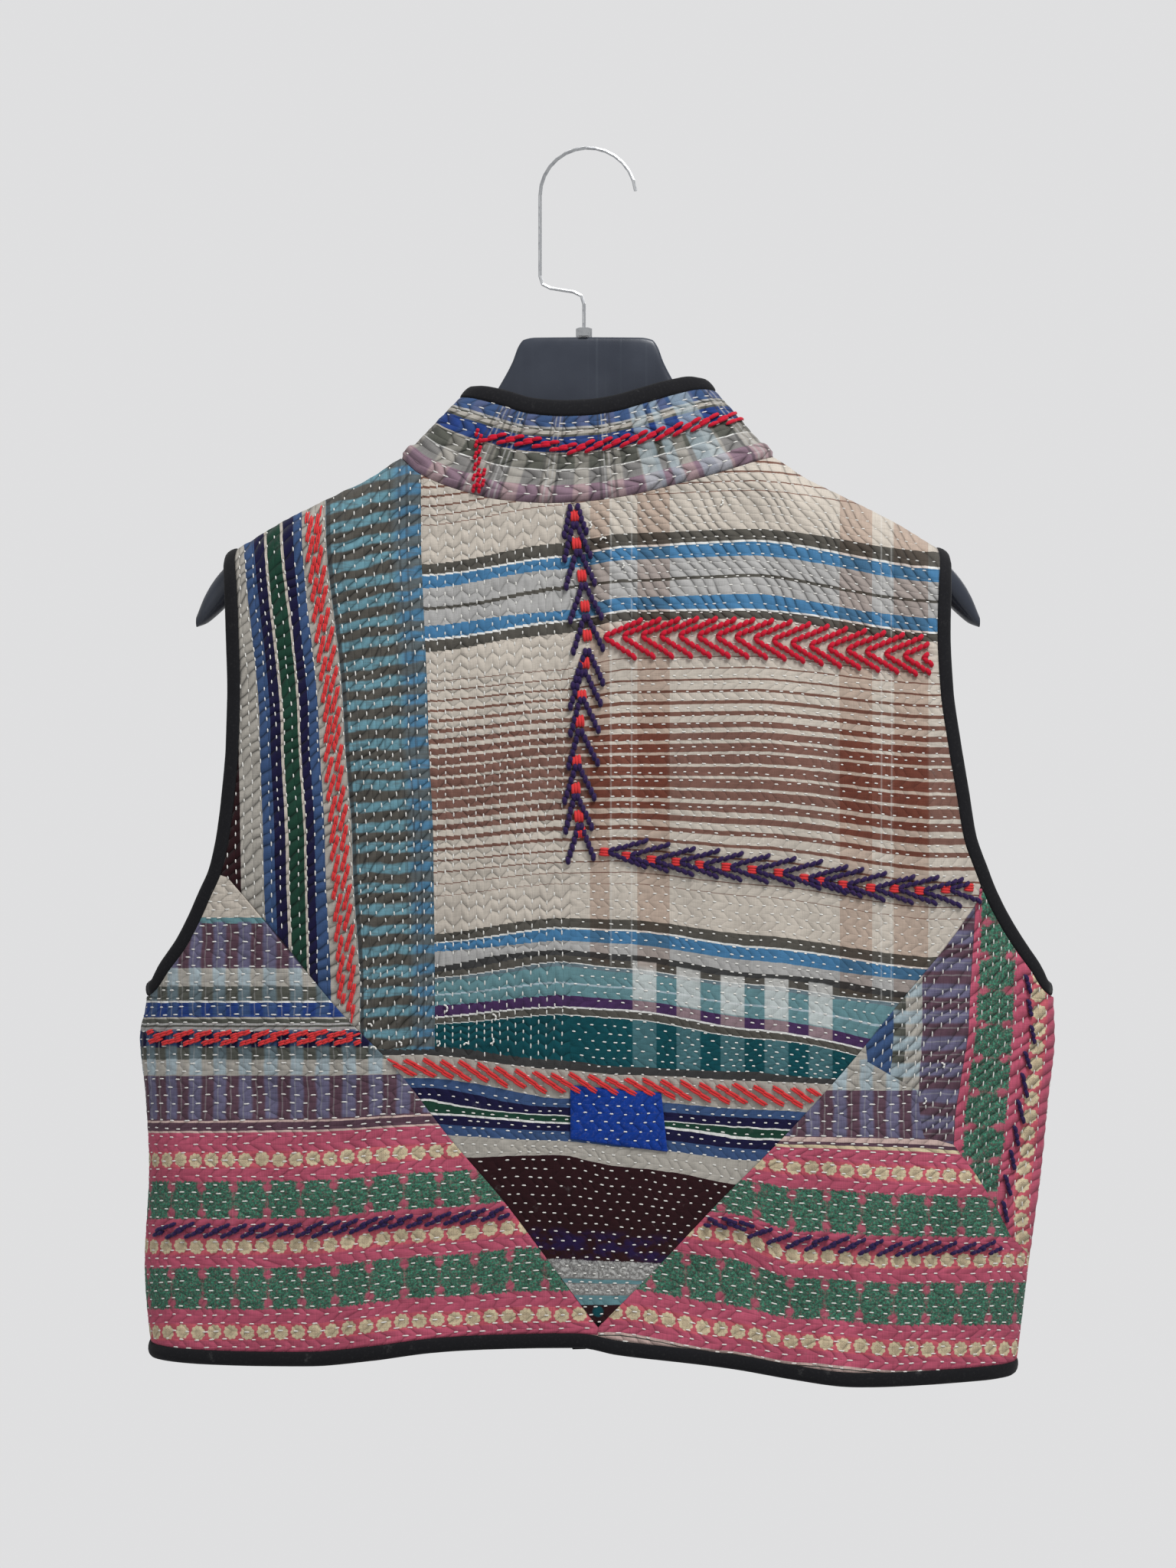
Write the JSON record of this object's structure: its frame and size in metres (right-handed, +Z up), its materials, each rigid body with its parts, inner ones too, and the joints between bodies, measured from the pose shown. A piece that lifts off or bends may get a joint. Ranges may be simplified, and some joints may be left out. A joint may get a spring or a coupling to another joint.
{
  "type": "quilted patchwork vest on hanger",
  "caption": "Sleeveless quilted patchwork vest with stand collar and dark bound edges, hanging on a moulded hanger with a wire hook.",
  "frame": {"origin": "inside top of the hanger's wire hook, where it rests on whatever holds it", "axes": "+Z up, -Y towards the viewer of the vest's back, +X to that viewer's right"},
  "size_m": [0.5223, 0.0934, 0.6995],
  "materials": {
    "striped_quilt": "matt woven cotton",
    "rose_quilt": "matt woven cotton",
    "grey_blue_quilt": "matt woven cotton",
    "blue_cotton": "matt woven cotton",
    "black_binding": "matt cotton",
    "black_moulding": "semi-gloss",
    "plated_wire": "bright"
  },
  "bodies": {
    "root": {"back_centre": "striped_quilt", "back_lower_left": "rose_quilt", "back_lower_right": "rose_quilt", "front_left": "grey_blue_quilt", "front_right": "grey_blue_quilt", "collar": "grey_blue_quilt", "blue_patch": "blue_cotton", "collar_binding": "black_binding", "armhole_binding_left": "black_binding", "armhole_binding_right": "black_binding", "hem_binding": "black_binding", "front_binding_left": "black_binding", "front_binding_right": "black_binding", "hanger_body": "black_moulding", "hanger_hook": "plated_wire", "hanger_nut": "plated_wire"}
  },
  "joints": []
}
